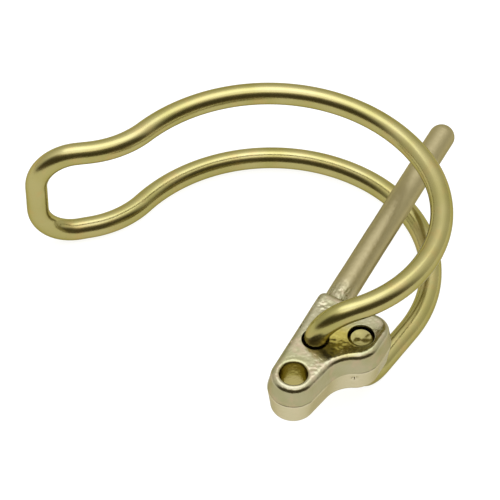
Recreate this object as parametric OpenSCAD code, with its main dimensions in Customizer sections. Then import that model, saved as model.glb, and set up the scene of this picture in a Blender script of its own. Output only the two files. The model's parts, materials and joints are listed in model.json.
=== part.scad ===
// Tube lynch pin with a double-wire spring bail, lying flat as it comes to rest.
// Millimetres. +X runs along the shaft to its domed end, +Z along the three bores.
// The origin is on the shaft's axis, at the outermost plane of the head's shoulder.

/* [Shaft] */
// Diameter of the round shaft
shaft_d = 8; // [7:0.5:9]
// Length of the shaft from the shoulder to its domed end
shaft_length = 79.6; // [70:0.1:95]

/* [Head] */
// Thickness of the forged head, measured along its bores
head_thickness = 14.8; // [13:0.2:16]
// Distance from the shaft's axis to the head's back edge at the shoulder
back_edge = 4.5; // [4.1:0.1:6]
// Rounding of the head's top and bottom edges
edge_round = 2; // [1:0.1:2]
// How far the draft pulls each wall in between the parting line and the edge rounding
wall_draft = 0.8; // [0.2:0.1:0.8]
// Height of the forging's parting line above the shaft's axis
parting_height = 1.3; // [0:0.1:2]
// Radius of the rounded outer end, around the chain hole
end_lobe_r = 7.3; // [7:0.1:8]
// Radius of the side lobe, around the lower leg's bore
side_lobe_r = 8.2; // [7.5:0.1:9]
// How far the side lobe's centre lies behind the lower leg's bore, away from the shoulder
lobe_offset_back = 1.2; // [0:0.1:2]
// How far the side lobe's centre lies nearer to the shaft's axis than that bore
lobe_offset_side = 1.1; // [0:0.1:2]
// Radius of the hollow waist between the outer end and the side lobe
waist_r = 8.4; // [6:0.1:9]
// Direction from the side lobe to the centre of the waist
waist_direction = 205; // [198:1:210]
// Radius of the side lobe's corner next to the shoulder
corner_r = 6.5; // [5:0.1:7]
// Distance from the shoulder plane to the centre of that corner
corner_back = 7.45; // [6.6:0.05:8]
// Distance from the shaft's axis to the centre of that corner
corner_side = 14.5; // [13.5:0.1:15.5]
// Radius of the shoulder's own corner, next to the back edge
shoulder_r = 3; // [3:0.1:4]

/* [Bores] */
// Diameter of the chain hole in the outer end
chain_hole_d = 7.6; // [6:0.1:8.2]
// Chamfer on both rims of the chain hole
chain_hole_chamfer = 0.8; // [0.2:0.1:1]
// Distance from the shoulder plane back to the chain hole
chain_hole_back = 31.6; // [30:0.1:34]
// Radial clearance of the wire in its two bores
wire_clearance = 0.45; // [0.3:0.05:0.7]
// Distance from the shoulder plane back to the upper leg's bore
upper_bore_back = 18.1; // [17:0.1:19]
// Sideways distance from the shaft's axis to the chain hole and the upper leg's bore
bore_line_side = 2.9; // [2.5:0.1:3.2]
// Distance from the shoulder plane back to the lower leg's bore
lower_bore_back = 11.3; // [10.5:0.1:12.5]
// Sideways distance from the shaft's axis to the lower leg's bore
lower_bore_side = 13.8; // [13:0.1:15]

/* [Wire bail] */
// Diameter of the wire
wire_d = 6.6; // [5:0.1:6.9]
// Distance between the centre lines of the two legs
leg_spacing = 34; // [30:0.5:40]
// Centre-line radius of the two bends at the nose
nose_bend_r = 12.3; // [9:0.1:13]
// Depth below the head's face at which each leg starts to bend out of its bore
bend_depth = 1.5; // [1:0.1:2]
// How far each cut end stops short of the head's far face
end_recess = 0.8; // [0.3:0.1:2]
// Bevel round each cut end
end_bevel = 0.4; // [0.1:0.1:0.8]
// Angle between the shaft and the line from the upper bore to the nose, as it lies
rest_swing = 81; // [70:1:90]
// Clearance that lets the nose pass the end of the shaft
nose_pass = 0.05; // [0:0.05:2]
// How far the nose bar leans from upright, at either leg
nose_lean = 0.35; // [0:0.05:1]
// Heading of the upper leg where it leaves the nose, from the shaft's direction
upper_heading = -54.5; // [-58:0.5:-50]
// Heading of the lower leg where it leaves the nose, from the shaft's direction
lower_heading = -49.75; // [-54:0.05:-46]
// Straight run of both legs next to the nose
nose_run = 3.6; // [2:0.1:8]
// Radius of the S-bend between the nose run and the bow
s_bend_r = 27.7; // [22:0.1:32]
// Angle that the S-bend turns through
s_bend_turn = 38.6; // [34:0.1:42]
// Radius of the first stretch of the bow
bow_r = 50.3; // [47:0.1:54]
// Angle of that stretch on the upper leg
upper_bow_turn = 110; // [100:0.5:120]
// Angle of that stretch on the lower leg
lower_bow_turn = 88.5; // [70:0.5:95]
// Straight run of the upper leg up to its bore, part of its bend included
upper_root_run = 2; // [0:0.1:12]
// Straight run of the lower leg up to its bore, its bend included
lower_root_run = 26.2; // [18:0.1:30]

/* [Hidden] */
$fn = 96;
shaft_r = shaft_d / 2;
wire_r = wire_d / 2;
bore_d = wire_d + 2 * wire_clearance;
leg_z = leg_spacing / 2;
face_z = head_thickness / 2;
stub_end_z = face_z - end_recess;
over = 1;                                   // how far a cutter runs past a face
shaft_root = upper_bore_back - bore_d;      // how deep the shaft is one with the head
root_taper = 0.1;                           // how much thinner the shaft is at its root than at the shoulder
// centres of the bores
chain_hole = [-chain_hole_back, -bore_line_side];
upper_bore = [-upper_bore_back, -bore_line_side];
lower_bore = [-lower_bore_back, -lower_bore_side];
round_steps = 4;
arc_step = 12;                              // most degrees between two points of the head's outline
// the rounded wall laps over the edge of the flat-faced core by this much
lap = 0.05;
// inside the core, the rounded wall closes to a point that sees its whole outline, this deep below each face
hub_depth = 1;
hub = [upper_bore.x + 1, upper_bore.y - 1, face_z - hub_depth];
root_bend_r = leg_z - face_z + bend_depth;  // centre-line radius of the bends at the bores
wire_sides = 20;
bow_step = 6;                               // most degrees between two sections of the wire in its wide bends
corner_steps = 6;                           // sections in each tight bend
// the bent wire starts a little inside each stub, and a little narrower than it
stub_tuck = 1;
stub_neck = 0.93;
// the nose bar stands just past the end of the shaft when the bail swings over it
nose_reach = shaft_length + upper_bore_back + wire_r + nose_pass;
nose = upper_bore + nose_reach * [cos(rest_swing), sin(rest_swing)];

function reversed(list) = [for (i = [len(list) - 1 : -1 : 0]) list[i]];
function forward(heading) = [cos(heading), sin(heading)];
function leftward(heading) = [-sin(heading), cos(heading)];
// where a bend of radius r ends: a positive turn goes left, a negative one right
function bend_end(p, heading, r, turn) =
    p + sign(turn) * r * (leftward(heading) - leftward(heading + turn));
// radius of the right-hand arc that leaves p and runs into a straight of length run to the bore
function closing_r(p, heading, bore, run) =
    let (gap = p - bore)
    (gap * gap - run * run) / (2 * (gap * leftward(heading)));
// angle of that arc, from the heading of the tangent that ends at the bore
function closing_turn(p, heading, r, bore, run) =
    let (
        to_bore = bore - (p - r * leftward(heading)),
        exit_heading = atan2(to_bore.y, to_bore.x) - 90 + atan2(run, r)
    )
    (heading - exit_heading) % 360;
// [point, heading] at a distance back along a leg from its bore: a straight run, then the closing bend
function root_point(bore, heading, r, run, back) =
    let (turn = max(0, back - run) / r * 180 / PI)
    back <= run
        ? [bore - back * forward(heading), heading]
        : [bend_end(bore - run * forward(heading), heading + 180, r, turn), heading + turn];
function positive(angle) = angle < 0 ? angle + 360 : angle;

// ---- forged pin: shaft and head in one piece ----

// The head's outline is a ring of circles joined by tangents, counter-clockwise from the outer end.
// Each is [centre, radius]; the waist is hollow, so its radius is negative.
side_lobe = lower_bore + [-lobe_offset_back, lobe_offset_side];
waist_centre = side_lobe + (side_lobe_r + waist_r) * forward(waist_direction);
outline = [
    [chain_hole, end_lobe_r],
    [waist_centre, -waist_r],
    [side_lobe, side_lobe_r],
    [[-corner_back, -corner_side], corner_r],
    [[-shoulder_r, back_edge - shoulder_r], shoulder_r]
];

// outward direction of the tangent from one circle of the ring to the next
function tangent_normal(a, b) =
    let (gap = b[0] - a[0])
    atan2(gap.y, gap.x) - acos(min(1, (a[1] - b[1]) / norm(gap)));

// points of one circle's arc, from its first tangent to its second, pulled in by inset
function arc_points(circle_, from, to, inset) =
    let (
        turn = circle_[1] > 0 ? positive(to - from) : -positive(from - to),
        steps = ceil(abs(turn) / arc_step)
    )
    [for (i = [0 : steps])
        circle_[0] + (circle_[1] - inset) * forward(from + turn * i / steps)];

function outline_points(inset) =
    let (n = len(outline))
    [for (i = [0 : n - 1])
        each arc_points(outline[i],
            tangent_normal(outline[(i + n - 1) % n], outline[i]),
            tangent_normal(outline[i], outline[(i + 1) % n]),
            inset)];

// [inset, height] of the wall's rounded edge, from its foot up to the flat face and then down inside the core
face_inset = wall_draft + edge_round;
edge_profile = concat(
    [for (i = [0 : round_steps])
        let (a = 90 * i / round_steps)
        [wall_draft + edge_round * (1 - cos(a)), face_z - lap - edge_round * (1 - sin(a))]],
    [[face_inset + 3 * lap, face_z - 5 * lap]]
);
levels = concat(
    [for (level = reversed(edge_profile)) [level[0], -level[1]]],
    [[0, parting_height]],
    edge_profile
);

module rounded_wall() {
    rings = [for (l = levels) [for (p = outline_points(l[0])) [p.x, p.y, l[1]]]];
    n = len(rings[0]);
    top = len(rings) - 1;
    hubs = (top + 1) * n;
    polyhedron(
        points = concat([for (ring = rings) each ring], [[hub.x, hub.y, -hub.z], hub]),
        faces = concat(
            [for (i = [0 : n - 1]) [i, (i + 1) % n, hubs]],
            [for (k = [0 : top - 1], i = [0 : n - 1])
                [k * n + i, (k + 1) * n + i, (k + 1) * n + (i + 1) % n, k * n + (i + 1) % n]],
            [for (i = [0 : n - 1]) [top * n + (i + 1) % n, top * n + i, hubs + 1]]
        ),
        convexity = 4
    );
}

module flat_core() {
    linear_extrude(height = head_thickness, center = true)
        polygon(outline_points(face_inset + lap));
}

module shaft() {
    rotate([0, 90, 0]) {
        translate([0, 0, -shaft_root])
            cylinder(r1 = shaft_r - root_taper, r2 = shaft_r, h = shaft_root);
        cylinder(d = shaft_d, h = shaft_length - shaft_r);
        translate([0, 0, shaft_length - shaft_r])
            sphere(d = shaft_d);
    }
}

module bore(at, d) {
    translate(at)
        cylinder(d = d, h = head_thickness + 2 * over, center = true);
}

module rim_chamfer(at, d, chamfer) {
    for (side = [0, 1])
        translate(at)
            mirror([0, 0, side])
                translate([0, 0, face_z - chamfer])
                    cylinder(r1 = d / 2, r2 = d / 2 + chamfer + over, h = chamfer + over);
}

module forged_pin() {
    color("#ab9f72")
        difference() {
            union() {
                rounded_wall();
                flat_core();
                shaft();
            }
            bore(chain_hole, chain_hole_d);
            rim_chamfer(chain_hole, chain_hole_d, chain_hole_chamfer);
            bore(upper_bore, bore_d);
            bore(lower_bore, bore_d);
        }
}

// ---- wire bail: one round wire bent to a bow ----

// A section of the wire is [centre, heading, tilt]. Its heading is the leg's, away from the nose. Its tilt turns
// its outer side from the heading (0) up (90), back (180) and down (270). From the upper stub to the lower one
// the tilt goes from 0 to 360, so the sections never flip.
function outer_side(heading, tilt) =
    [cos(tilt) * cos(heading), cos(tilt) * sin(heading), sin(tilt)];

// one bend at the nose, from the upright bar to the level leg; the side is 1 above and -1 below
function nose_sections(side, heading) =
    [for (a = [0 : 90 / corner_steps : 90])
        let (
            z = side * (leg_z - nose_bend_r + nose_bend_r * sin(a)),
            p = nose + (nose_bend_r * (1 - cos(a)) + nose_lean * z / leg_z) * forward(heading)
        )
        [[p.x, p.y, z], heading, 180 - side * a]];

// the bend of one leg down into its bore, without its last section
function root_sections(side, bore_at, heading, r, run) =
    [for (a = [0 : 90 / corner_steps : 89])
        let (q = root_point(bore_at, heading, r, run, root_bend_r * (1 - sin(a))))
        [
            [q[0].x, q[0].y, side * (leg_z - root_bend_r * (1 - cos(a)))],
            q[1],
            180 - 90 * side - side * a
        ]];

// [point, heading] along a level bend, without its start
function bend_route(p, heading, r, turn) =
    let (steps = ceil(abs(turn) / bow_step))
    [for (i = [1 : steps])
        let (part = turn * i / steps)
        [bend_end(p, heading, r, part), heading + part]];

// sections of one leg, from the nose bar to its bore
function leg_sections(side, heading, bow_turn, bore_at, root_run) =
    let (
        s_start = nose + (nose_bend_r + side * nose_lean + nose_run) * forward(heading),
        s_end = bend_end(s_start, heading, s_bend_r, s_bend_turn),
        s_heading = heading + s_bend_turn,
        bow_end = bend_end(s_end, s_heading, bow_r, -bow_turn),
        bow_heading = s_heading - bow_turn,
        tail_r = closing_r(bow_end, bow_heading, bore_at, root_run),
        tail_turn = positive(closing_turn(bow_end, bow_heading, tail_r, bore_at, root_run)),
        tail_heading = bow_heading - tail_turn,
        level_turn = tail_turn - max(0, root_bend_r - root_run) / tail_r * 180 / PI,
        tail_route = bend_route(bow_end, bow_heading, tail_r, -level_turn),
        level_route = concat(
            [[s_start, heading]],
            bend_route(s_start, heading, s_bend_r, s_bend_turn),
            bend_route(s_end, s_heading, bow_r, -bow_turn),
            root_run > root_bend_r ? tail_route : [for (i = [0 : len(tail_route) - 2]) tail_route[i]]
        )
    )
    concat(
        nose_sections(side, heading),
        [for (q = level_route) [[q[0].x, q[0].y, side * leg_z], q[1], 180 - 90 * side]],
        root_sections(side, bore_at, tail_heading, tail_r, root_run),
        [[
            [bore_at.x, bore_at.y, side * (leg_z - root_bend_r - stub_tuck)],
            tail_heading,
            180 - 180 * side
        ]]
    );

module bent_wire() {
    sections = concat(
        reversed(leg_sections(1, upper_heading, upper_bow_turn, upper_bore, upper_root_run)),
        leg_sections(-1, lower_heading, lower_bow_turn, lower_bore, lower_root_run)
    );
    last = len(sections) - 1;
    n = wire_sides;
    polyhedron(
        points = [for (k = [0 : last], i = [0 : n - 1])
            let (
                q = sections[k],
                r = wire_r * (k == 0 || k == last ? stub_neck : 1),
                left = [-sin(q[1]), cos(q[1]), 0],
                a = 360 * i / n
            )
            q[0] + r * (cos(a) * left + sin(a) * outer_side(q[1], q[2]))],
        faces = concat(
            [[for (i = [n - 1 : -1 : 0]) i]],
            [for (k = [0 : last - 1], i = [0 : n - 1])
                [k * n + i, k * n + (i + 1) % n, (k + 1) * n + (i + 1) % n, (k + 1) * n + i]],
            [[for (i = [0 : n - 1]) last * n + i]]
        ),
        convexity = 6
    );
}

// the upright end of one leg in its bore, with its cut end bevelled
module stub(bore_at) {
    length = leg_z - root_bend_r + stub_end_z;
    translate([bore_at.x, bore_at.y, -stub_end_z]) {
        cylinder(r1 = wire_r - end_bevel, r2 = wire_r, h = end_bevel);
        translate([0, 0, end_bevel])
            cylinder(d = wire_d, h = length - end_bevel);
    }
}

module wire_bail() {
    color("#a99d55") {
        bent_wire();
        stub(upper_bore);
        mirror([0, 0, 1])
            stub(lower_bore);
    }
}

forged_pin();
wire_bail();
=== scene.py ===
"""Lynch pin: a forged pin with a flat head and a spring bail of bent wire, dressed around its CAD frame."""

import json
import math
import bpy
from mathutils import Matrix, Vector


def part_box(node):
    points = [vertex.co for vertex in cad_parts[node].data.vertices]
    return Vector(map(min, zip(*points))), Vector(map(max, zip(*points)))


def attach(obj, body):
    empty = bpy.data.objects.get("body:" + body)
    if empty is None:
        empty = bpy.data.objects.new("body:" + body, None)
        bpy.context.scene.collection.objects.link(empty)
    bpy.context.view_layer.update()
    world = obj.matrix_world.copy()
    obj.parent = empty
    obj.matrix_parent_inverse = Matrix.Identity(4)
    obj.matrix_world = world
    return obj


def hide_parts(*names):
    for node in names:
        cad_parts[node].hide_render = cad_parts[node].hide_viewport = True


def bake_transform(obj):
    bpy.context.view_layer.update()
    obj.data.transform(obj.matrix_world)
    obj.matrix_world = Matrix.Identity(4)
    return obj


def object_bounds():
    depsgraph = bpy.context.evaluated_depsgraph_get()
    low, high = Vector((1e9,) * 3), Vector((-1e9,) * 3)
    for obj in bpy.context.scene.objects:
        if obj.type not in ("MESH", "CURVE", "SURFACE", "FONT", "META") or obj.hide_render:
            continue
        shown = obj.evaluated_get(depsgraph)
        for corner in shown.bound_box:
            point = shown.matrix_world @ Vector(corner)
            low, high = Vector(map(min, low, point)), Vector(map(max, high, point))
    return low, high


bl_info = {
    "name": "Lynch Pin",
    "version": (1, 0, 0),
    "blender": (4, 5, 0),
    "location": "View3D > Sidebar > Lynch Pin",
    "description": "Builds a yellow-plated lynch pin with its wire bail, and the stage it lies on",
    "category": "Add Mesh",
}

import bmesh
import bpy
import numpy as np
from bpy.props import FloatProperty, FloatVectorProperty, PointerProperty
from mathutils import Vector, noise
from mathutils.geometry import delaunay_2d_cdt

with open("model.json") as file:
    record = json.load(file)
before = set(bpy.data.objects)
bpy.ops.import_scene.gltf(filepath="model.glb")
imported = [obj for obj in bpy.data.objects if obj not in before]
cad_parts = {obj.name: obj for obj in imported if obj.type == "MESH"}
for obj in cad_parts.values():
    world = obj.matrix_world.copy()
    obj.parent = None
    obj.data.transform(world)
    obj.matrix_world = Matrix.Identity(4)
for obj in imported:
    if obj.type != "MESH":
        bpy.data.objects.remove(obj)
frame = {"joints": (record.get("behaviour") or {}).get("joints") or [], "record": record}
CAD_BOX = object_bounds()

MM = 0.001
PIN_HIGH = np.array(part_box("forged_pin")[1])
WIRE_HIGH = np.array(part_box("wire_bail")[1])
MOUNTS = {mount["name"]: mount for mount in frame["record"]["mounts"]}
HINGE = next(joint for joint in frame["joints"] if joint["name"] == "bail_swing")
SHAFT_R = MOUNTS["shaft"]["dims"]["r_mm"] * MM
CHAIN_HOLE = np.array(MOUNTS["chain_hole"]["pos_m"][:2])
CHAIN_HOLE_R = MOUNTS["chain_hole"]["dims"]["r_mm"] * MM
UPPER_BORE = np.array(HINGE["pos_m"][:2])

# edges sharper than this, in degrees, stay sharp
SHARP_ABOVE = 38


def linear(hex_colour):
    """A colour written as sRGB hex, turned to the linear values that shaders use."""
    parts = [int(hex_colour[i : i + 2], 16) / 255 for i in (1, 3, 5)]
    return [c / 12.92 if c <= 0.04045 else ((c + 0.055) / 1.055) ** 2.4 for c in parts]


def length(name, description, default):
    """A size in metres that a user would change."""
    return FloatProperty(name=name, description=description, default=default,
                         subtype="DISTANCE", unit="LENGTH")


def angle(name, description, degrees):
    """An angle that a user would change, given in degrees and kept in radians."""
    return FloatProperty(name=name, description=description, default=math.radians(degrees),
                         subtype="ANGLE", unit="ROTATION")


def number(name, description, default):
    """A plain number that a user would change."""
    return FloatProperty(name=name, description=description, default=default)


def colour(name, description, hex_colour):
    """A colour that a user would change."""
    return FloatVectorProperty(name=name, description=description, default=linear(hex_colour),
                               subtype="COLOR", size=3, min=0.0, max=1.0)


# ---- sizes and colours that a user would change ----


class ForgingSizes(bpy.types.PropertyGroup):
    """Sizes of the forged pin; those that the frame holds come from it"""

    back_edge: length("Back edge", "Shaft axis to the head's back edge at the shoulder", 4.5 * MM)
    edge_round: length("Edge round", "Rounding of the head's top and bottom edges", 2.0 * MM)
    wall_draft: length("Wall draft", "How far the walls lean in above and below the parting line", 0.8 * MM)
    parting_height: length("Parting height", "Height of the parting line above the shaft's axis", 1.3 * MM)
    end_lobe_r: length("End lobe", "Radius of the head's outer end", 7.3 * MM)
    side_lobe_r: length("Side lobe", "Radius of the side lobe", 8.2 * MM)
    lobe_offset_back: length("Lobe offset back", "How far the side lobe lies behind the lower bore", 1.2 * MM)
    lobe_offset_side: length("Lobe offset side", "How far it lies nearer to the shaft's axis", 1.1 * MM)
    waist_r: length("Waist", "Radius of the hollow between the two lobes", 8.4 * MM)
    waist_direction: angle("Waist direction", "Direction from the side lobe to the waist's centre", 205)
    corner_r: length("Lobe corner", "Radius of the side lobe's corner next to the shoulder", 6.5 * MM)
    corner_back: length("Corner back", "Shoulder plane to that corner's centre", 7.45 * MM)
    corner_side: length("Corner side", "Shaft axis to that corner's centre", 14.5 * MM)
    shoulder_r: length("Shoulder corner", "Radius of the shoulder's corner at the back edge", 3.0 * MM)
    lower_bore_back: length("Lower bore back", "Shoulder plane to the lower leg's bore", 11.3 * MM)
    lower_bore_side: length("Lower bore side", "Shaft axis to the lower leg's bore", 13.8 * MM)
    bore_r: length("Bore radius", "Radius of the two bores that hold the wire", 3.75 * MM)
    bore_edge: length("Bore edge", "Rounding of those bores' rims", 0.25 * MM)
    chamfer: length("Chain hole rim", "Rounded rim of the chain hole", 0.8 * MM)
    parting_depth: length("Parting depth", "Depth of the trimmed line left by the two dies", 0.16 * MM)
    parting_width: length("Parting width", "Half the width of that line", 0.2 * MM)
    flash_flat: length("Flash flat", "Half the width of the trimmed strip along the shaft", 1.35 * MM)
    flash_depth: length("Flash depth", "How far that strip lies below the round", 0.14 * MM)
    shaft_fillet: length("Shaft fillet", "Radius where the shaft runs into the shoulder", 0.7 * MM)


class WireSizes(bpy.types.PropertyGroup):
    """Sizes of the bent wire, from the nose bar to the two bores"""

    wire_r: length("Wire radius", "Radius of the wire", 3.29 * MM)
    nose_bend_r: length("Nose bends", "Centre-line radius of the two bends at the nose", 12.3 * MM)
    bend_depth: length("Bend depth", "Depth in the bore at which each leg starts to bend", 1.5 * MM)
    end_recess: length("End recess", "How far each cut end stops short of the head's far face", 0.8 * MM)
    end_bevel: length("End bevel", "Bevel round each cut end", 0.4 * MM)
    rest_swing: angle("Rest swing", "Angle from the shaft to the line from the upper bore to the nose", 81)
    nose_pass: length("Nose pass", "Clearance that lets the nose pass the shaft's end", 0.06 * MM)
    nose_lean: length("Nose lean", "How far the nose bar leans from upright, at either leg", 0.35 * MM)
    upper_heading: angle("Upper heading", "Heading of the upper leg where it leaves the nose", -54.5)
    lower_heading: angle("Lower heading", "Heading of the lower leg where it leaves the nose", -49.75)
    nose_run: length("Nose run", "Straight run next to the nose", 3.6 * MM)
    s_bend_r: length("S-bend radius", "Radius between the nose run and the bow", 27.7 * MM)
    s_bend_turn: angle("S-bend turn", "Angle that the S-bend turns through", 38.6)
    bow_r: length("Bow radius", "Radius of the bow's first stretch", 50.3 * MM)
    upper_bow_turn: angle("Upper bow turn", "Angle of that stretch on the upper leg", 110)
    lower_bow_turn: angle("Lower bow turn", "Angle of that stretch on the lower leg", 88.5)
    upper_root_run: length("Upper root run", "Straight run up to the upper bore", 2.0 * MM)
    lower_root_run: length("Lower root run", "Straight run up to the lower bore", 26.2 * MM)


class FinishColours(bpy.types.PropertyGroup):
    """Colours of the yellow zinc plating on forged steel and on drawn wire, with two painted reflections on
    the forging
    """

    forging: colour("Forging", "Plating on the forged skin", "#A19B79")
    forging_olive: colour("Forging olive", "Greener plating", "#929063")
    forging_rose: colour("Forging rose", "Pinkish bloom of the plating", "#B59C80")
    # painted reflection and shade: the deeper yellow put between the wire bores and on the chain hole's wall
    forging_painted_reflection: colour("Forging yellow", "Thick, deep yellow plating round the bores", "#9C8F3F")
    # painted reflection: the paler colour of the half under the parting line, for the floor that it reflects
    forging_painted_floor_reflection: colour("Forging pale", "Paler plating on the lower die's half", "#CDC3A2")
    forging_shaft: colour("Forging shaft", "Duller plating on the shaft", "#A0956B")
    wire: colour("Wire", "Plating on the drawn wire", "#A59C65")
    wire_olive: colour("Wire olive", "Thinner, greener plating", "#979050")
    wire_gold: colour("Wire gold", "Thicker, warmer plating", "#B0955C")
    edge_tint: colour("Edge tint", "Reflections at a grazing angle", "#C2BDA4")


class StageSettings(bpy.types.PropertyGroup):
    """Camera and lights of the studio"""

    azimuth: angle("Azimuth", "Direction of the camera round the part", -62.8)
    elevation: angle("Elevation", "Height of the camera over the floor", 49)
    distance: length("Distance", "Camera to the point it looks at", 0.658)
    look_x: length("Look at X", "Point that the camera looks at", 8.35 * MM)
    look_y: length("Look at Y", "Point that the camera looks at", 31.1 * MM)
    lens: number("Lens", "Focal length in millimetres on a 36 mm sensor", 162.4)
    floor: colour("Floor", "Pale matt floor", "#858584")
    floor_glow: number("Floor glow", "Light that comes up through the floor", 3.9)
    key_power: number("Key light", "Power of the soft box overhead in watts", 1.9)
    key_colour: colour("Key colour", "Cool daylight of the soft box overhead", "#E2E8FF")
    sky_strength: number("Sky", "Strength of the light from all round", 3.4)


# ---- small helpers ----


def sizes(name):
    """One of the scene's groups of settings."""
    return getattr(bpy.context.scene, name)


def forward(heading):
    """Level direction of a heading."""
    return np.array([math.cos(heading), math.sin(heading)])


def leftward(heading):
    """Level direction a quarter turn to the left of a heading."""
    return np.array([-math.sin(heading), math.cos(heading)])


def smooth_step(low, high, value):
    """Rises smoothly from 0 at low to 1 at high; with high below low it falls."""
    t = np.clip((np.asarray(value, float) - low) / (high - low), 0.0, 1.0)
    return t * t * (3 - 2 * t)


def new_piece(name, points, faces):
    """A mesh object in the row frame."""
    mesh = bpy.data.meshes.new(name)
    mesh.from_pydata([tuple(p) for p in points], [], faces)
    mesh.validate()
    mesh.update()
    piece = bpy.data.objects.new(name, mesh)
    bpy.context.scene.collection.objects.link(piece)
    return piece


def shade(piece, sharp_above):
    """Smooth shading that keeps edges sharper than an angle."""
    mesh = piece.data
    mesh.shade_smooth()
    mesh.set_sharp_from_angle(angle=math.radians(sharp_above))


# ---- the forged head's outline: a ring of circles joined by tangents ----


def outline_circles():
    """(centre, radius) counter-clockwise from the outer end; the hollow waist has a negative radius."""
    s = sizes("forging_sizes")
    lobe = np.array([-s.lower_bore_back - s.lobe_offset_back, -s.lower_bore_side + s.lobe_offset_side])
    waist = lobe + (s.side_lobe_r + s.waist_r) * forward(s.waist_direction)
    return [
        (CHAIN_HOLE, s.end_lobe_r),
        (waist, -s.waist_r),
        (lobe, s.side_lobe_r),
        (np.array([-s.corner_back, -s.corner_side]), s.corner_r),
        (np.array([-s.shoulder_r, s.back_edge - s.shoulder_r]), s.shoulder_r),
    ]


def tangent_normal(a, b):
    """Outward direction of the tangent from one circle of the ring to the next."""
    gap = b[0] - a[0]
    reach = math.hypot(*gap)
    return math.atan2(gap[1], gap[0]) - math.acos(min(1.0, (a[1] - b[1]) / reach))


def outline_rays(step_angle, step_length):
    """(centre, radius, direction) of each outline point; a straight run shares between its two circles."""
    circles = outline_circles()
    count = len(circles)
    rays = []
    for i, circle in enumerate(circles):
        start = tangent_normal(circles[i - 1], circle)
        end = tangent_normal(circle, circles[(i + 1) % count])
        turn = (end - start) % math.tau if circle[1] > 0 else -((start - end) % math.tau)
        steps = math.ceil(abs(turn) / step_angle)
        rays += [(circle[0], circle[1], start + turn * k / steps) for k in range(steps + 1)]
        following = circles[(i + 1) % count]
        a = circle[0] + circle[1] * forward(end)
        b = following[0] + following[1] * forward(end)
        runs = max(1, round(math.hypot(*(b - a)) / step_length))
        for k in range(1, runs):
            share = k / runs
            centre = circle[0] * (1 - share) + following[0] * share
            rays.append((centre, circle[1] * (1 - share) + following[1] * share, end))
    return rays


def outline_ring(rays, inset):
    """The outline's points, each pulled in by its own inset."""
    inset = np.broadcast_to(inset, len(rays))
    return np.array([c + (r - d) * forward(a) for (c, r, a), d in zip(rays, inset)])


# ---- the forged pin's mesh ----

# the head's edges are built as rings up to this angle, and the rest of their round belongs to the face
ROUND_SHARE = math.radians(55)

# the parting line's groove from its middle outwards: share of its half width, and share of its depth
GROOVE = [(0, 1), (0.4, 0.75), (0.8, 0.2), (1.2, 0)]

# the parting line is whole up to the first distance from the chain hole or the lower bore,
# and gone from the second on
PARTING_REACH = (8.0 * MM, 10.5 * MM)

# spacing of the head's points: along its outline in angle and length, and over its flat faces
OUTLINE_ANGLE = math.radians(4)
OUTLINE_LENGTH = 0.55 * MM
FACE_SPACING = 0.42 * MM

# x where the shaft's blank ends inside the head
SHAFT_ROOT = -7.0 * MM


def wall_levels(s, face_z, rays):
    """(insets, height) from the lower flat face up to the upper one, with the parting groove between."""
    centres = outline_ring(rays, 0.0)
    lobes = [CHAIN_HOLE, np.array([-s.lower_bore_back, -s.lower_bore_side])]
    near = np.min([np.hypot(*(centres - lobe).T) for lobe in lobes], axis=0)
    strength = s.parting_depth * (1 - smooth_step(*PARTING_REACH, near))
    wall_top = face_z - s.edge_round
    wall_steps = 9
    round_steps = 9

    def half(direction):
        """Levels from the parting line up (1) or down (-1) to the flat face."""
        run = wall_top - direction * s.parting_height
        offsets = [(s.parting_width * share, deep) for share, deep in GROOVE]
        first = offsets[-1][0]
        offsets += [(first + (run - first) * k / wall_steps, 0) for k in range(1, wall_steps + 1)]
        levels = [(strength * deep + s.wall_draft * offset / run, s.parting_height + direction * offset)
                  for offset, deep in offsets]
        for k in range(1, round_steps + 1):
            a = ROUND_SHARE * k / round_steps
            inset = s.wall_draft + s.edge_round * (1 - math.cos(a))
            levels.append((np.full(len(rays), inset), direction * (wall_top + s.edge_round * math.sin(a))))
        return levels

    return half(-1)[:0:-1] + half(1)


def circle_points(centre, radius, count):
    """Points round a level circle, counter-clockwise."""
    turns = np.arange(count) * math.tau / count
    return centre + radius * np.c_[np.cos(turns), np.sin(turns)]


def inside(points, polygon):
    """Which points lie inside a closed polygon."""
    x, y = points.T
    result = np.zeros(len(points), bool)
    for (x1, y1), (x2, y2) in zip(polygon, np.roll(polygon, -1, axis=0)):
        crosses = (y1 > y) != (y2 > y)
        if crosses.any():
            where = x1 + (y - y1) * (x2 - x1) / (y2 - y1 if y2 != y1 else 1e-12)
            result ^= crosses & (x < where)
    return result


def distance_to_loop(points, loop):
    """Distance of each point from a closed line of points."""
    starts, ends = loop, np.roll(loop, -1, axis=0)
    best = np.full(len(points), np.inf)
    for a, b in zip(starts, ends):
        run = b - a
        share = np.clip((points - a) @ run / max(run @ run, 1e-18), 0, 1)
        best = np.minimum(best, np.hypot(*(points - a - np.outer(share, run)).T))
    return best


def face_drop(s, points, outline):
    """How far the rounded edges of head and chain hole lower the face at each point."""
    short = np.clip(s.wall_draft + s.edge_round - distance_to_loop(points, outline), 0, s.edge_round)
    edge = s.edge_round - np.sqrt(s.edge_round**2 - short**2)
    short = np.clip(CHAIN_HOLE_R + s.chamfer - np.hypot(*(points - CHAIN_HOLE).T), 0, s.chamfer)
    return edge + s.chamfer - np.sqrt(s.chamfer**2 - short**2)


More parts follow.
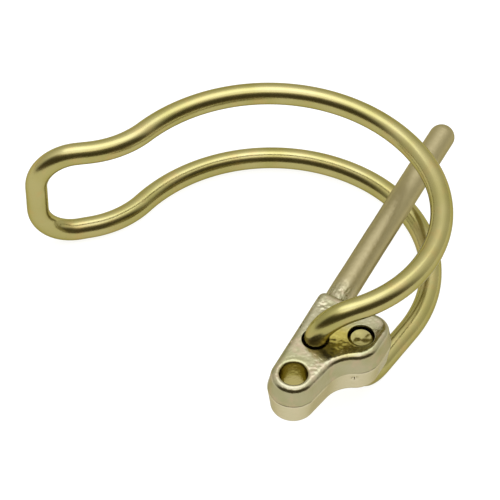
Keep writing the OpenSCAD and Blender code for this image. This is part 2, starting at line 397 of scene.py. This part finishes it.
def flat_face(rim, holes, spacing):
    """Points and triangles of a flat face with holes: first the rim's, then each hole's, then a grid's."""
    edges, fixed = [], []
    for loop in [rim] + holes:
        start = len(fixed)
        fixed += list(loop)
        edges += [(start + i, start + (i + 1) % len(loop)) for i in range(len(loop))]
    low, high = rim.min(axis=0), rim.max(axis=0)
    xs = np.arange(low[0], high[0], spacing)
    ys = np.arange(low[1], high[1], spacing * math.sqrt(0.75))
    grid = np.array([(x + (spacing / 2 if j % 2 else 0), y) for j, y in enumerate(ys) for x in xs])
    keep = inside(grid, rim)
    for loop in holes:
        keep &= ~inside(grid, loop)
    gap = np.min([np.hypot(*(grid - p).T) for p in fixed], axis=0)
    least_gap = 0.55 * spacing
    grid = grid[keep & (gap > least_gap)]
    points = np.array(fixed + list(grid))
    # triangles over the whole convex hull; those outside the rim or in a hole are dropped below
    whole_hull, tolerance = 0, 1e-6
    corners = [Vector(p / MM) for p in points]
    _, _, triangles, origin, _, _ = delaunay_2d_cdt(corners, edges, [], whole_hull, tolerance)
    source = [ids[0] for ids in origin]
    triangles = np.array([[source[i] for i in t] for t in triangles])
    middle = points[triangles].mean(axis=1)
    wanted = inside(middle, rim)
    for loop in holes:
        wanted &= ~inside(middle, loop)
    return points, triangles[wanted]


def bore_profile(radius, edge, face_z, first):
    """(radius, height) down a bore with rounded rims, from the round's first angle to the lower rim."""
    rim_steps = 6
    rim = []
    for k in range(rim_steps + 1):
        a = first + (math.pi / 2 - first) * k / rim_steps
        rim.append((radius + edge * (1 - math.sin(a)), face_z - edge * (1 - math.cos(a))))
    wall_steps = 16
    depth = face_z - edge
    wall = [(radius, depth - 2 * depth * k / wall_steps) for k in range(1, wall_steps)]
    return rim + wall + [(r, -z) for r, z in reversed(rim)]


def head_mesh(s, face_z):
    """Points and faces of the head, with its three bores and no shaft."""
    rays = outline_rays(OUTLINE_ANGLE, OUTLINE_LENGTH)
    levels = wall_levels(s, face_z, rays)
    rings = [np.c_[outline_ring(rays, insets), np.full(len(rays), z)] for insets, z in levels]
    lower_bore = np.array([-s.lower_bore_back, -s.lower_bore_side])
    chain_profile = bore_profile(CHAIN_HOLE_R, s.chamfer, face_z, math.pi / 2 - ROUND_SHARE)
    wire_profile = bore_profile(s.bore_r, s.bore_edge, face_z, 0.0)
    # each bore's centre, profile and count of points round it
    bores = [(CHAIN_HOLE, chain_profile, 72), (UPPER_BORE, wire_profile, 64), (lower_bore, wire_profile, 64)]
    holes = [circle_points(centre, profile[0][0], count) for centre, profile, count in bores]
    flat, triangles = flat_face(rings[-1][:, :2], holes, FACE_SPACING)
    height = face_z - face_drop(s, flat, outline_ring(rays, 0.0))
    points, faces = [], []

    def put(block):
        """Adds a block of points and tells where it starts."""
        start = len(points)
        points.extend(block)
        return start

    count = len(rays)
    starts = [put(ring) for ring in rings[1:-1]]
    top = put(np.c_[flat, height])
    bottom = put(np.c_[flat, -height])
    starts = [bottom] + starts + [top]
    for low, high in zip(starts, starts[1:]):
        for i in range(count):
            j = (i + 1) % count
            faces.append((low + i, low + j, high + j, high + i))
    for a, b, c in triangles:
        faces.append((top + a, top + b, top + c))
        faces.append((bottom + a, bottom + c, bottom + b))
    first = count
    for centre, profile, sides in bores:
        inner = [put(np.c_[circle_points(centre, r, sides), np.full(sides, z)]) for r, z in profile[1:-1]]
        chain = [top + first] + inner + [bottom + first]
        for high, low in zip(chain, chain[1:]):
            for i in range(sides):
                j = (i + 1) % sides
                faces.append((high + i, high + j, low + j, low + i))
        first += sides
    return points, faces


def shaft_mesh(s, root, end):
    """Points and faces of the shaft: domed end, trimmed strips on both sides, small fillet at the root."""
    around = 96
    ring_gap = 0.6 * MM
    turns = np.arange(around) * math.tau / around
    side, up = np.cos(turns), np.sin(turns)
    dome_steps = 20
    straight = np.arange(0.0, end - SHAFT_R, ring_gap)
    fillet_steps = 6
    f = s.shaft_fillet
    strip_edge = 0.12 * MM
    # each station: x, radius, and how far the fillet flares there
    stations = [(root, SHAFT_R, 0.0), (-ring_gap, SHAFT_R, f)]
    for k in range(fillet_steps + 1):
        a = math.pi / 2 * k / fillet_steps
        stations.append((f * (1 - math.cos(a)), SHAFT_R, f * (1 - math.sin(a))))
    fillet_end = 1.4 * f
    stations += [(x, SHAFT_R, 0.0) for x in straight if x > fillet_end]
    for k in range(dome_steps):
        a = math.pi / 2 * k / dome_steps
        stations.append((end - SHAFT_R + SHAFT_R * math.sin(a), SHAFT_R * math.cos(a), 0.0))
    strip_low, strip_high = s.flash_flat - strip_edge, s.flash_flat + strip_edge
    points = []
    for x, r, flare in stations:
        # the fillet fades towards the back edge, where head and shaft are nearly flush
        flare_here = flare * smooth_step(-0.9, 0.2, -side)
        radius = r + flare_here
        strip = smooth_step(strip_high, strip_low, np.abs(up) * r)
        # the strips fade out before the dome and towards the fillet
        fade = smooth_step(end - 1.5 * SHAFT_R, end - 2.5 * SHAFT_R, x) * smooth_step(0.2 * f, 3 * f, x)
        # the strip's flat seen from the axis; the 0.2 keeps it finite at top and bottom, where no strip is
        flat = (SHAFT_R - s.flash_depth) / np.maximum(np.abs(side), 0.2)
        flat = np.minimum(flat, radius)
        radius = radius + (flat - radius) * strip * fade
        points += list(np.c_[np.full(around, x), radius * side, radius * up])
    rings = len(stations)
    tip = len(points)
    points.append((end, 0.0, 0.0))
    back = len(points)
    points.append((root, 0.0, 0.0))
    faces = []
    for k in range(rings - 1):
        for i in range(around):
            j = (i + 1) % around
            a, b = k * around, (k + 1) * around
            faces.append((a + i, a + j, b + j, b + i)[::-1])
    last = (rings - 1) * around
    for i in range(around):
        j = (i + 1) % around
        faces.append((last + i, last + j, tip))
        faces.append((j, i, back))
    return points, faces


def outward_normals(piece):
    """Turns every face of a closed mesh outwards."""
    bm = bmesh.new()
    bm.from_mesh(piece.data)
    bmesh.ops.recalc_face_normals(bm, faces=bm.faces)
    bm.to_mesh(piece.data)
    bm.free()


def join_solids(piece, other):
    """Fuses a second closed solid into the first."""
    fuse = piece.modifiers.new("fuse", "BOOLEAN")
    fuse.operation = "UNION"
    fuse.solver = "EXACT"
    fuse.object = other
    depsgraph = bpy.context.evaluated_depsgraph_get()
    fused = bpy.data.meshes.new_from_object(piece.evaluated_get(depsgraph))
    piece.modifiers.clear()
    old = piece.data
    piece.data = fused
    fused.name = piece.name
    bpy.data.meshes.remove(old)
    bpy.data.objects.remove(other)


def roughen(piece, skin, patches):
    """Presses the skin in unevenly, and deeper in patches of (centre, reach, depth, grain), all in mm."""
    swell_size, grain_size = 7.0, 1.9
    # each noise is read from its own place
    grain_start, patch_start = Vector((9, 4, 1)), Vector((3, 7, 5))
    bm = bmesh.new()
    bm.from_mesh(piece.data)
    bm.normal_update()
    moves = []
    for vert in bm.verts:
        p = vert.co / MM
        swell = noise.noise(p / swell_size) * 0.5 + 0.5
        grain_here = noise.noise(p / grain_size + grain_start) * 0.5 + 0.5
        depth = skin * (swell + 0.5 * grain_here)
        for centre, reach, deep, grain in patches:
            weight = 1 - smooth_step(0.35, 1.0, (p - Vector(centre)).length / reach)
            if weight > 0:
                depth += deep * weight * max(0.0, noise.noise(p / grain + patch_start) + 0.25)
        moves.append(vert.normal * (-depth * MM))
    for vert, move in zip(bm.verts, moves):
        vert.co += move
    bm.to_mesh(piece.data)
    bm.free()


# ---- the wire's mesh ----


def bend_end(p, heading, r, turn):
    """Where a level bend ends; a positive turn goes left."""
    return p + math.copysign(r, turn) * (leftward(heading) - leftward(heading + turn))


def bend_route(p, heading, r, turn, step):
    """(point, heading) along a level bend, without its start."""
    steps = math.ceil(abs(turn) * r / step)
    turns = [turn * k / steps for k in range(1, steps + 1)]
    return [(bend_end(p, heading, r, part), heading + part) for part in turns]


def straight_route(p, heading, run, step):
    """(point, heading) along a straight, without its start."""
    steps = max(1, math.ceil(run / step))
    return [(p + forward(heading) * run * k / steps, heading) for k in range(1, steps + 1)]


def closing_bend(p, heading, bore, run):
    """Radius and angle of the right-hand bend from p into a straight that ends at the bore."""
    gap = p - bore
    r = (gap @ gap - run * run) / (2 * (gap @ leftward(heading)))
    to_bore = bore - (p - r * leftward(heading))
    exit_heading = math.atan2(to_bore[1], to_bore[0]) - math.pi / 2 + math.atan2(run, r)
    return r, (heading - exit_heading) % math.tau


def root_point(bore, heading, r, run, back):
    """(point, heading) at a distance back from the bore along a leg's straight run and closing bend."""
    if back <= run:
        return bore - back * forward(heading), heading
    turn = (back - run) / r
    return bend_end(bore - run * forward(heading), heading + math.pi, r, turn), heading + turn


def outer_side(heading, tilt):
    """Direction across the wire, tilted up from its heading."""
    return np.array([*(math.cos(tilt) * forward(heading)), math.sin(tilt)])


def nose_sections(w, nose, leg_z, side, heading):
    """Sections (centre, heading, tilt) of one bend at the nose; the side is 1 above and -1 below."""
    steps = 16
    r = w.nose_bend_r
    sections = []
    for k in range(steps + 1):
        a = math.pi / 2 * k / steps
        z = side * (leg_z - r + r * math.sin(a))
        p = nose + (r * (1 - math.cos(a)) + w.nose_lean * z / leg_z) * forward(heading)
        sections.append((np.array([p[0], p[1], z]), heading, math.pi - side * a))
    return sections


def root_sections(bore, leg_z, side, heading, r, bend_r, run):
    """Sections of one leg's bend down into its bore."""
    steps = 16
    sections = []
    for k in range(steps + 1):
        a = math.pi / 2 * k / steps
        p, local = root_point(bore, heading, r, run, bend_r * (1 - math.sin(a)))
        z = side * (leg_z - bend_r * (1 - math.cos(a)))
        sections.append((np.array([p[0], p[1], z]), local, math.pi / 2 * (2 - side) - side * a))
    return sections


def leg_sections(w, nose, leg_z, side, heading, bow_turn, bore, root_run, stub_end):
    """Sections of one leg, from the nose bar to its cut end."""
    step = 1.0 * MM
    level = 0.5 * math.pi * (2 - side)
    bend_r = leg_z - PIN_HIGH[2] + w.bend_depth
    run_start = nose + (w.nose_bend_r + side * w.nose_lean) * forward(heading)
    s_start = run_start + w.nose_run * forward(heading)
    s_end = bend_end(s_start, heading, w.s_bend_r, w.s_bend_turn)
    s_heading = heading + w.s_bend_turn
    bow_end = bend_end(s_end, s_heading, w.bow_r, -bow_turn)
    bow_heading = s_heading - bow_turn
    tail_r, tail_turn = closing_bend(bow_end, bow_heading, bore, root_run)
    tail_heading = bow_heading - tail_turn
    level_turn = tail_turn - max(0.0, bend_r - root_run) / tail_r
    level_end = bend_end(bow_end, bow_heading, tail_r, -level_turn)
    route = straight_route(run_start, heading, w.nose_run, step)
    route += bend_route(s_start, heading, w.s_bend_r, w.s_bend_turn, step)
    route += bend_route(s_end, s_heading, w.bow_r, -bow_turn, step)
    route += bend_route(bow_end, bow_heading, tail_r, -level_turn, step)
    if root_run > bend_r:
        route += straight_route(level_end, tail_heading, root_run - bend_r, step)
    sections = nose_sections(w, nose, leg_z, side, heading)
    sections += [(np.array([p[0], p[1], side * leg_z]), h, level) for p, h in route[:-1]]
    sections += root_sections(bore, leg_z, side, tail_heading, tail_r, bend_r, root_run)
    depth = leg_z - bend_r
    stub_steps = 18
    for k in range(1, stub_steps + 1):
        z = depth + (-stub_end - depth) * k / stub_steps
        sections.append((np.array([bore[0], bore[1], side * z]), tail_heading, math.pi * (1 - side)))
    return sections


def wire_sections():
    """Sections of the whole wire from the upper cut end to the lower one, and their distances along it."""
    w = sizes("wire_sizes")
    leg_z = WIRE_HIGH[2] - w.wire_r
    stub_end = PIN_HIGH[2] - w.end_recess
    f = sizes("forging_sizes")
    lower_bore = np.array([-f.lower_bore_back, -f.lower_bore_side])
    reach = PIN_HIGH[0] - UPPER_BORE[0] + w.wire_r + w.nose_pass
    nose = UPPER_BORE + reach * forward(w.rest_swing)
    upper = leg_sections(w, nose, leg_z, 1, w.upper_heading, w.upper_bow_turn,
                         UPPER_BORE, w.upper_root_run, stub_end)
    lower = leg_sections(w, nose, leg_z, -1, w.lower_heading, w.lower_bow_turn,
                         lower_bore, w.lower_root_run, stub_end)
    bar_steps = 20
    a, b = upper[0], lower[0]
    bar = []
    for k in range(1, bar_steps):
        t = k / bar_steps
        bar.append((a[0] * (1 - t) + b[0] * t, a[1] * (1 - t) + b[1] * t, math.pi))
    sections = upper[::-1] + bar + lower
    gaps = [np.linalg.norm(q[0] - p[0]) for p, q in zip(sections, sections[1:])]
    along = np.concatenate([[0.0], np.cumsum(gaps)])
    return sections, along


def tube(name, sections, along, w, cut_start, cut_end):
    """A closed tube through the sections; a cut end is bevelled and slightly crowned, any other is flat.

    Each point keeps where it lies on the straight wire before bending, for the drawn marks of its material.
    """
    around = 48
    turns = np.arange(around) * math.tau / around
    rings = []

    def ring(section, r, s):
        """Adds a ring of radius r round a section at distance s along the wire."""
        centre, heading, tilt = section
        left = np.array([*leftward(heading), 0.0])
        out = outer_side(heading, tilt)
        places = centre + r * (np.outer(np.cos(turns), left) + np.outer(np.sin(turns), out))
        wire = np.c_[np.full(around, s), r * np.cos(turns), r * np.sin(turns)]
        rings.append((places, wire))

    def cap(section, direction, s):
        """Rings across a cut end, from its bevel to near its centre."""
        shares = [1.0, 0.94, 0.86, 0.76, 0.64, 0.5, 0.36, 0.22, 0.1]
        flat_r = w.wire_r - w.end_bevel
        crown_height = 0.06 * MM
        result = []
        for share in shares:
            crown = crown_height * (1 - share * share)
            moved = (section[0] + direction * crown, section[1], section[2])
            result.append((moved, flat_r * share, s))
        return result

    def axis_at(i, j):
        """Direction of the wire from section j to section i."""
        d = sections[i][0] - sections[j][0]
        return d / np.linalg.norm(d)

    body = list(zip(sections, [w.wire_r] * len(sections), along))
    if cut_start:
        d = axis_at(0, 1)
        shoulder = (sections[0][0] - d * w.end_bevel, sections[0][1], sections[0][2])
        body = cap(sections[0], d, along[0])[::-1] + [(shoulder, w.wire_r, along[0])] + body[1:]
    if cut_end:
        d = axis_at(-1, -2)
        shoulder = (sections[-1][0] - d * w.end_bevel, sections[-1][1], sections[-1][2])
        body = body[:-1] + [(shoulder, w.wire_r, along[-1])] + cap(sections[-1], d, along[-1])
    for section, r, s in body:
        ring(section, r, s)
    points = np.vstack([places for places, _ in rings])
    straight = np.vstack([wire for _, wire in rings])
    count = len(rings)
    ends = np.array([rings[0][0].mean(axis=0), rings[-1][0].mean(axis=0)])
    end_wire = np.array([[along[0], 0, 0], [along[-1], 0, 0]])
    points = np.vstack([points, ends])
    straight = np.vstack([straight, end_wire])
    faces = []
    for k in range(count - 1):
        for i in range(around):
            j = (i + 1) % around
            faces.append((k * around + i, k * around + j, (k + 1) * around + j, (k + 1) * around + i))
    for i in range(around):
        j = (i + 1) % around
        faces.append((j, i, count * around))
        faces.append(((count - 1) * around + i, (count - 1) * around + j, count * around + 1))
    piece = new_piece(name, points, faces)
    attribute = piece.data.attributes.new("straight_wire", "FLOAT_VECTOR", "POINT")
    attribute.data.foreach_set("vector", (straight / MM).astype(np.float32).ravel())
    return piece


# ---- materials ----


def add(tree, kind, inputs=None, **settings):
    """Adds a node with its settings; an input is a value, or another node's output that links to it."""
    made = tree.nodes.new(kind)
    for key, value in settings.items():
        setattr(made, key, value)
    for key, value in (inputs or {}).items():
        if isinstance(value, bpy.types.NodeSocket):
            tree.links.new(value, made.inputs[key])
        else:
            made.inputs[key].default_value = value
    return made


def material(name):
    """A node material without nodes, and its tree."""
    made = bpy.data.materials.new(name)
    made.use_nodes = True
    made.node_tree.nodes.clear()
    return made, made.node_tree


def rgba(values):
    """Red, green and blue with full opacity."""
    return (*values, 1.0)


def ramp(tree, factor, stops):
    """A colour ramp; each stop is (place, value or colour)."""
    made = add(tree, "ShaderNodeValToRGB", {"Fac": factor})
    band = made.color_ramp
    while len(band.elements) < len(stops):
        band.elements.new(0.5)
    for element, (place, value) in zip(band.elements, stops):
        element.position = place
        element.color = rgba([value] * 3) if isinstance(value, float) else rgba(value)
    return made.outputs["Color"]


def mix_colour(tree, factor, a, b):
    """Mixes two colours, each a socket or a linear colour, by a factor."""
    a, b = (value if isinstance(value, bpy.types.NodeSocket) else rgba(value) for value in (a, b))
    # the mix node repeats its sockets for each type of data: 0 is the factor, 6 and 7 are the colours
    return add(tree, "ShaderNodeMix", {0: factor, 6: a, 7: b}, data_type="RGBA").outputs[2]


def maths(tree, operation, a, b=0.0):
    """One step of arithmetic on values or sockets."""
    return add(tree, "ShaderNodeMath", {0: a, 1: b}, operation=operation).outputs[0]


def distance_from(tree, place, point):
    """Distance of the shaded place from a point."""
    return add(tree, "ShaderNodeVectorMath", {0: place, 1: point}, operation="DISTANCE").outputs["Value"]


def blotches(tree, place, scale, detail, roughness=0.5):
    """Noise between 0 and 1, in blotches about one over the scale across."""
    made = add(tree, "ShaderNodeTexNoise",
               {"Vector": place, "Scale": scale, "Detail": detail, "Roughness": roughness})
    return made.outputs["Fac"]


def plated_metal(tree, base, rough, height, bump_strength, bump_depth):
    """A plated surface with its bumps, linked to the material's output."""
    bump = add(tree, "ShaderNodeBump", {"Strength": bump_strength, "Distance": bump_depth, "Height": height})
    shader = add(tree, "ShaderNodeBsdfPrincipled",
                 {"Base Color": base, "Metallic": 1.0, "Roughness": rough, "Normal": bump.outputs["Normal"],
                  "Specular Tint": rgba(sizes("finish_colours").edge_tint)})
    add(tree, "ShaderNodeOutputMaterial", {"Surface": shader.outputs["BSDF"]})


def forging_material():
    """Yellow zinc plate over a drop-forged and shot-blasted skin."""
    # A satin khaki metal: blasting leaves a fine grain that spreads each reflection, and the thin
    # chromate film drifts between olive and rose.
    c = sizes("finish_colours")
    made, tree = material("yellow zinc plated drop-forged steel")
    place = add(tree, "ShaderNodeTexCoord").outputs["Object"]
    # a scale of per_mm / n gives features about n mm across
    per_mm = 1 / MM
    drift = blotches(tree, place, per_mm / 11, detail=2.0)
    film = blotches(tree, place, per_mm / 4, detail=3.0, roughness=0.6)
    olive = ramp(tree, drift, [(0.42, 0.0), (0.68, 0.8)])
    rose = ramp(tree, film, [(0.5, 0.0), (0.75, 0.6)])
    base = mix_colour(tree, olive, c.forging, c.forging_olive)
    base = mix_colour(tree, rose, base, c.forging_rose)
    # painted reflection: the half under the parting line is paler, for the floor that its downward-leaning
    # walls reflect; a soft edge 0.2 mm high
    parts = add(tree, "ShaderNodeSeparateXYZ", {"Vector": place})
    below = maths(tree, "SUBTRACT", sizes("forging_sizes").parting_height, parts.outputs["Z"])
    lower = ramp(tree, maths(tree, "MULTIPLY", below, per_mm / 2), [(0.0, 0.0), (0.1, 0.7)])
    base = mix_colour(tree, lower, base, c.forging_painted_floor_reflection)
    # the shaft is duller, from 2 mm past the shoulder on and fully at 9 mm
    along = ramp(tree, maths(tree, "MULTIPLY", parts.outputs["X"], per_mm / 10), [(0.2, 0.0), (0.9, 1.0)])
    base = mix_colour(tree, along, base, c.forging_shaft)
    # painted reflection and shade: deeper yellow between the two wire bores, for the yellow wire reflected
    # there and the shade under it
    hollow = distance_from(tree, place, tuple(v * MM for v in (-15.5, -9.0, 7.4)))
    reach = maths(tree, "ADD", maths(tree, "MULTIPLY", hollow, per_mm / 9),
                  maths(tree, "MULTIPLY", film, 0.3))
    base = mix_colour(tree, ramp(tree, reach, [(0.5, 0.9), (1.0, 0.0)]), base, c.forging_painted_reflection)
    # painted reflection: the same deeper yellow on the wall of the chain hole, up to 4.3 mm from its axis,
    # for the olive reflection inside the hole
    flat_place = add(tree, "ShaderNodeVectorMath", {0: place, 1: (1.0, 1.0, 0.0)}, operation="MULTIPLY")
    bore = distance_from(tree, flat_place.outputs["Vector"], (*CHAIN_HOLE, 0.0))
    wall = ramp(tree, maths(tree, "MULTIPLY", bore, per_mm / 10), [(0.385, 0.7), (0.43, 0.0)])
    base = mix_colour(tree, wall, base, c.forging_painted_reflection)
    # shot-blast grain and shallow dents, drawn a little coarser than real so that they show
    blasted = blotches(tree, place, per_mm / 0.45, detail=3.0, roughness=0.65)
    dents = add(tree, "ShaderNodeTexVoronoi", {"Vector": place, "Scale": per_mm / 1.3, "Smoothness": 0.6},
                feature="SMOOTH_F1").outputs["Distance"]
    dented = ramp(tree, dents, [(0.05, 0.0), (0.55, 1.0)])
    height = maths(tree, "ADD", maths(tree, "MULTIPLY", blasted, 0.5), maths(tree, "MULTIPLY", dented, 0.5))
    rough = maths(tree, "ADD", ramp(tree, film, [(0.3, 0.15), (0.75, 0.25)]),
                  maths(tree, "MULTIPLY", along, 0.22))
    plated_metal(tree, base, rough, height, bump_strength=0.75, bump_depth=0.07 * MM)
    return made


def wire_material():
    """Yellow zinc plate over drawn spring wire."""
    # A glossy olive gold: drawing leaves the wire smooth with faint lines along it, so reflections
    # are sharp across the wire and smeared along it.
    c = sizes("finish_colours")
    made, tree = material("yellow zinc plated drawn spring wire")
    # the place on the straight wire before bending, in mm, so a scale of 1 / n gives features of about n mm
    place = add(tree, "ShaderNodeAttribute", attribute_name="straight_wire").outputs["Vector"]
    stretched = add(tree, "ShaderNodeMapping", {"Vector": place, "Scale": (0.02, 1.0, 1.0)}).outputs["Vector"]
    clouds = blotches(tree, place, 1 / 14, detail=3.0)
    spots = blotches(tree, place, 1 / 5, detail=4.0, roughness=0.6)
    olive = ramp(tree, clouds, [(0.4, 0.0), (0.65, 0.7)])
    gold = ramp(tree, spots, [(0.52, 0.0), (0.78, 0.6)])
    base = mix_colour(tree, olive, c.wire, c.wire_olive)
    base = mix_colour(tree, gold, base, c.wire_gold)
    # drawing lines about 0.35 mm apart round the wire, small pits, and slow waves along it
    lines = blotches(tree, stretched, 1 / 0.35, detail=3.0)
    pits = blotches(tree, place, 1 / 0.6, detail=2.0)
    waves = blotches(tree, place, 1 / 6, detail=1.0)
    height = maths(tree, "ADD", maths(tree, "MULTIPLY", lines, 0.5), maths(tree, "MULTIPLY", pits, 0.25))
    height = maths(tree, "ADD", height, maths(tree, "MULTIPLY", waves, 2.0))
    rough = ramp(tree, spots, [(0.3, 0.18), (0.8, 0.27)])
    plated_metal(tree, base, rough, height, bump_strength=0.35, bump_depth=0.04 * MM)
    return made


def floor_material():
    """White paper on a light table."""
    # Matt and without gloss of its own; the light that comes up through it leaves hardly any shadow.
    s = sizes("stage_settings")
    made, tree = material("matt white paper on a light table")
    shader = add(tree, "ShaderNodeBsdfPrincipled",
                 {"Base Color": rgba(s.floor), "Roughness": 0.9, "Specular IOR Level": 0.1,
                  "Emission Color": rgba(s.floor), "Emission Strength": s.floor_glow})
    add(tree, "ShaderNodeOutputMaterial", {"Surface": shader.outputs["BSDF"]})
    return made


# ---- operators ----


class LYNCHPIN_OT_forged_pin(bpy.types.Operator):
    """Builds the forged shaft and head as one piece"""

    bl_idname = "lynchpin.forged_pin"
    bl_label = "Forged Pin"

    def execute(self, context):
        """Fuses head and shaft, roughens the skin and plates it."""
        s = sizes("forging_sizes")
        head = new_piece("forged_pin_body", *head_mesh(s, PIN_HIGH[2]))
        shaft = new_piece("shaft_blank", *shaft_mesh(s, SHAFT_ROOT, PIN_HIGH[0]))
        outward_normals(head)
        outward_normals(shaft)
        join_solids(head, shaft)
        skin = 0.05
        # rough places left by scale, and a single pit in the side lobe's wall
        patches = [
            ((3.9, 0.2, 3.9), 5.0, 0.32, 0.62),
            ((-6.6, 0.0, 7.4), 3.2, 0.26, 0.65),
            ((-18.0, -9.5, 7.4), 4.8, 0.2, 0.8),
            ((-28.5, -8.0, 6.8), 3.0, 0.15, 0.8),
            ((-19.6, -16.0, -1.1), 0.8, 1.4, 50.0),
        ]
        roughen(head, skin, patches)
        shade(head, SHARP_ABOVE)
        head.data.materials.clear()
        head.data.materials.append(forging_material())
        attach(head, "pin")
        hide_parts("forged_pin")
        return {"FINISHED"}


class LYNCHPIN_OT_wire_bail(bpy.types.Operator):
    """Builds the bent wire, with the stretch next to its lower bore as a piece of its own, left free of the
    bail's body
    """

    bl_idname = "lynchpin.wire_bail"
    bl_label = "Wire Bail"

    def execute(self, context):
        """Bends the wire, parts off the stretch next to the lower bore and plates both."""
        w = sizes("wire_sizes")
        f = sizes("forging_sizes")
        sections, along = wire_sections()
        # the separate stretch starts this far from the lower cut end
        flexing = 95 * MM
        split = int(np.searchsorted(along, along[-1] - flexing))
        finish = wire_material()
        # the lower leg's cut end, in mm
        stub = (-f.lower_bore_back / MM, -f.lower_bore_side / MM, (PIN_HIGH[2] - w.end_recess) / MM)
        bail = tube("bail_wire", sections[: split + 1], along[: split + 1], w, cut_start=True, cut_end=False)
        flex = tube("bail_lower_leg", sections[split:], along[split:], w, cut_start=False, cut_end=True)
        outward_normals(bail)
        outward_normals(flex)
        # the sheared end is pressed in unevenly
        roughen(flex, skin=0.0, patches=[(stub, 3.6, 0.35, 1.9)])
        for piece in (bail, flex):
            shade(piece, SHARP_ABOVE)
            piece.data.materials.append(finish)
            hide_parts("wire_bail")
        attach(bail, "bail")
        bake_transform(flex)
        return {"FINISHED"}


class LYNCHPIN_OT_stage(bpy.types.Operator):
    """Sets up the floor, the studio light and the camera"""

    bl_idname = "lynchpin.stage"
    bl_label = "Stage"

    def execute(self, context):
        """Adds floor, sky, lamp and camera."""
        s = sizes("stage_settings")
        # half the floor's width in metres
        half = 3.0
        z = CAD_BOX[0][2]
        floor = new_piece("floor", [(-half, -half, z), (half, -half, z), (half, half, z), (-half, half, z)],
                          [(0, 1, 2, 3)])
        floor.data.materials.append(floor_material())
        self.sky(s)
        self.lamp(s, "overhead_box", tilt=105, distance=0.9, size=(0.9, 0.5))
        self.camera(s)
        context.scene.view_settings.view_transform = "Standard"
        return {"FINISHED"}

    def towards(self, s, tilt):
        """Direction tilted up from the camera's side of the floor; past 90 degrees it goes over the top."""
        away = np.array([math.sin(s.azimuth), -math.cos(s.azimuth)])
        a = math.radians(tilt)
        return Vector((away[0] * math.cos(a), away[1] * math.cos(a), math.sin(a)))

    def lamp(self, s, name, tilt, distance, size):
        """A soft box that faces the part."""
        light = bpy.data.lights.new(name, "AREA")
        light.shape = "RECTANGLE"
        light.size, light.size_y = size
        light.energy = s.key_power
        light.color = s.key_colour
        lamp = bpy.data.objects.new(name, light)
        bpy.context.scene.collection.objects.link(lamp)
        direction = self.towards(s, tilt)
        lamp.location = Vector((s.look_x, s.look_y, 0.0)) + direction * distance
        lamp.rotation_euler = direction.to_track_quat("Z", "Y").to_euler()

    def sky(self, s):
        """A studio all round: pale walls, a cool light overhead, and dark on the camera's side."""
        world = bpy.data.worlds.new("studio")
        bpy.context.scene.world = world
        world.use_nodes = True
        tree = world.node_tree
        tree.nodes.clear()
        direction = add(tree, "ShaderNodeTexCoord").outputs["Generated"]
        parts = add(tree, "ShaderNodeSeparateXYZ", {"Vector": direction})
        height = parts.outputs["Z"]
        toward = self.towards(s, 0)
        side = maths(tree, "ADD", maths(tree, "MULTIPLY", parts.outputs["X"], toward.x),
                     maths(tree, "MULTIPLY", parts.outputs["Y"], toward.y))
        # each stop: sine of the elevation, and the light that comes from there as red, green and blue
        near = ramp(tree, height, [
            (0.0, (0.09, 0.08, 0.07)), (0.14, (0.045, 0.035, 0.02)), (0.33, (0.027, 0.023, 0.014)),
            (0.63, (0.033, 0.03, 0.02)), (0.755, (0.07, 0.06, 0.045)), (0.83, (0.2, 0.18, 0.16)),
            (0.9, (0.66, 0.65, 0.72)), (0.95, (0.76, 0.77, 0.95)), (1.0, (0.74, 0.76, 1.0))])
        far = ramp(tree, height, [
            (0.0, (0.25, 0.25, 0.25)), (0.423, (0.27, 0.27, 0.27)), (0.643, (0.33, 0.33, 0.34)),
            (0.809, (0.43, 0.43, 0.48)), (0.914, (0.51, 0.52, 0.62)), (0.978, (0.62, 0.63, 0.8)),
            (1.0, (0.72, 0.74, 1.0))])
        share = ramp(tree, side, [(0.0, 0.0), (0.35, 1.0)])
        shown = mix_colour(tree, share, far, near)
        background = add(tree, "ShaderNodeBackground", {"Color": shown, "Strength": s.sky_strength})
        add(tree, "ShaderNodeOutputWorld", {"Surface": background.outputs["Background"]})

    def camera(self, s):
        """Points a long lens at the part."""
        data = bpy.data.cameras.new("camera")
        data.lens = s.lens
        data.sensor_width = 36
        data.clip_end = 20
        camera = bpy.data.objects.new("camera", data)
        bpy.context.scene.collection.objects.link(camera)
        back = self.towards(s, math.degrees(s.elevation))
        camera.location = Vector((s.look_x, s.look_y, 0.0)) + back * s.distance
        camera.rotation_euler = back.to_track_quat("Z", "Y").to_euler()
        bpy.context.scene.camera = camera


class LYNCHPIN_PT_panel(bpy.types.Panel):
    """Lists the steps that build the lynch pin"""

    bl_idname = "LYNCHPIN_PT_panel"
    bl_label = "Lynch Pin"
    bl_space_type = "VIEW_3D"
    bl_region_type = "UI"
    bl_category = "Lynch Pin"

    def draw(self, context):
        """One button for each step."""
        for step in STEPS:
            self.layout.operator(step.bl_idname)


STEPS = (LYNCHPIN_OT_forged_pin, LYNCHPIN_OT_wire_bail, LYNCHPIN_OT_stage)
GROUPS = {
    "forging_sizes": ForgingSizes,
    "wire_sizes": WireSizes,
    "finish_colours": FinishColours,
    "stage_settings": StageSettings,
}
CLASSES = (*GROUPS.values(), *STEPS, LYNCHPIN_PT_panel)


def register():
    """Adds the classes and the scene's groups of settings."""
    for cls in CLASSES:
        bpy.utils.register_class(cls)
    for name, group in GROUPS.items():
        setattr(bpy.types.Scene, name, PointerProperty(type=group))


def unregister():
    """Takes them away again."""
    for name in GROUPS:
        delattr(bpy.types.Scene, name)
    for cls in reversed(CLASSES):
        bpy.utils.unregister_class(cls)


def main():
    """Builds the pieces and the stage."""
    register()
    bpy.ops.lynchpin.forged_pin()
    bpy.ops.lynchpin.wire_bail()
    bpy.ops.lynchpin.stage()


if __name__ == "__main__":
    main()
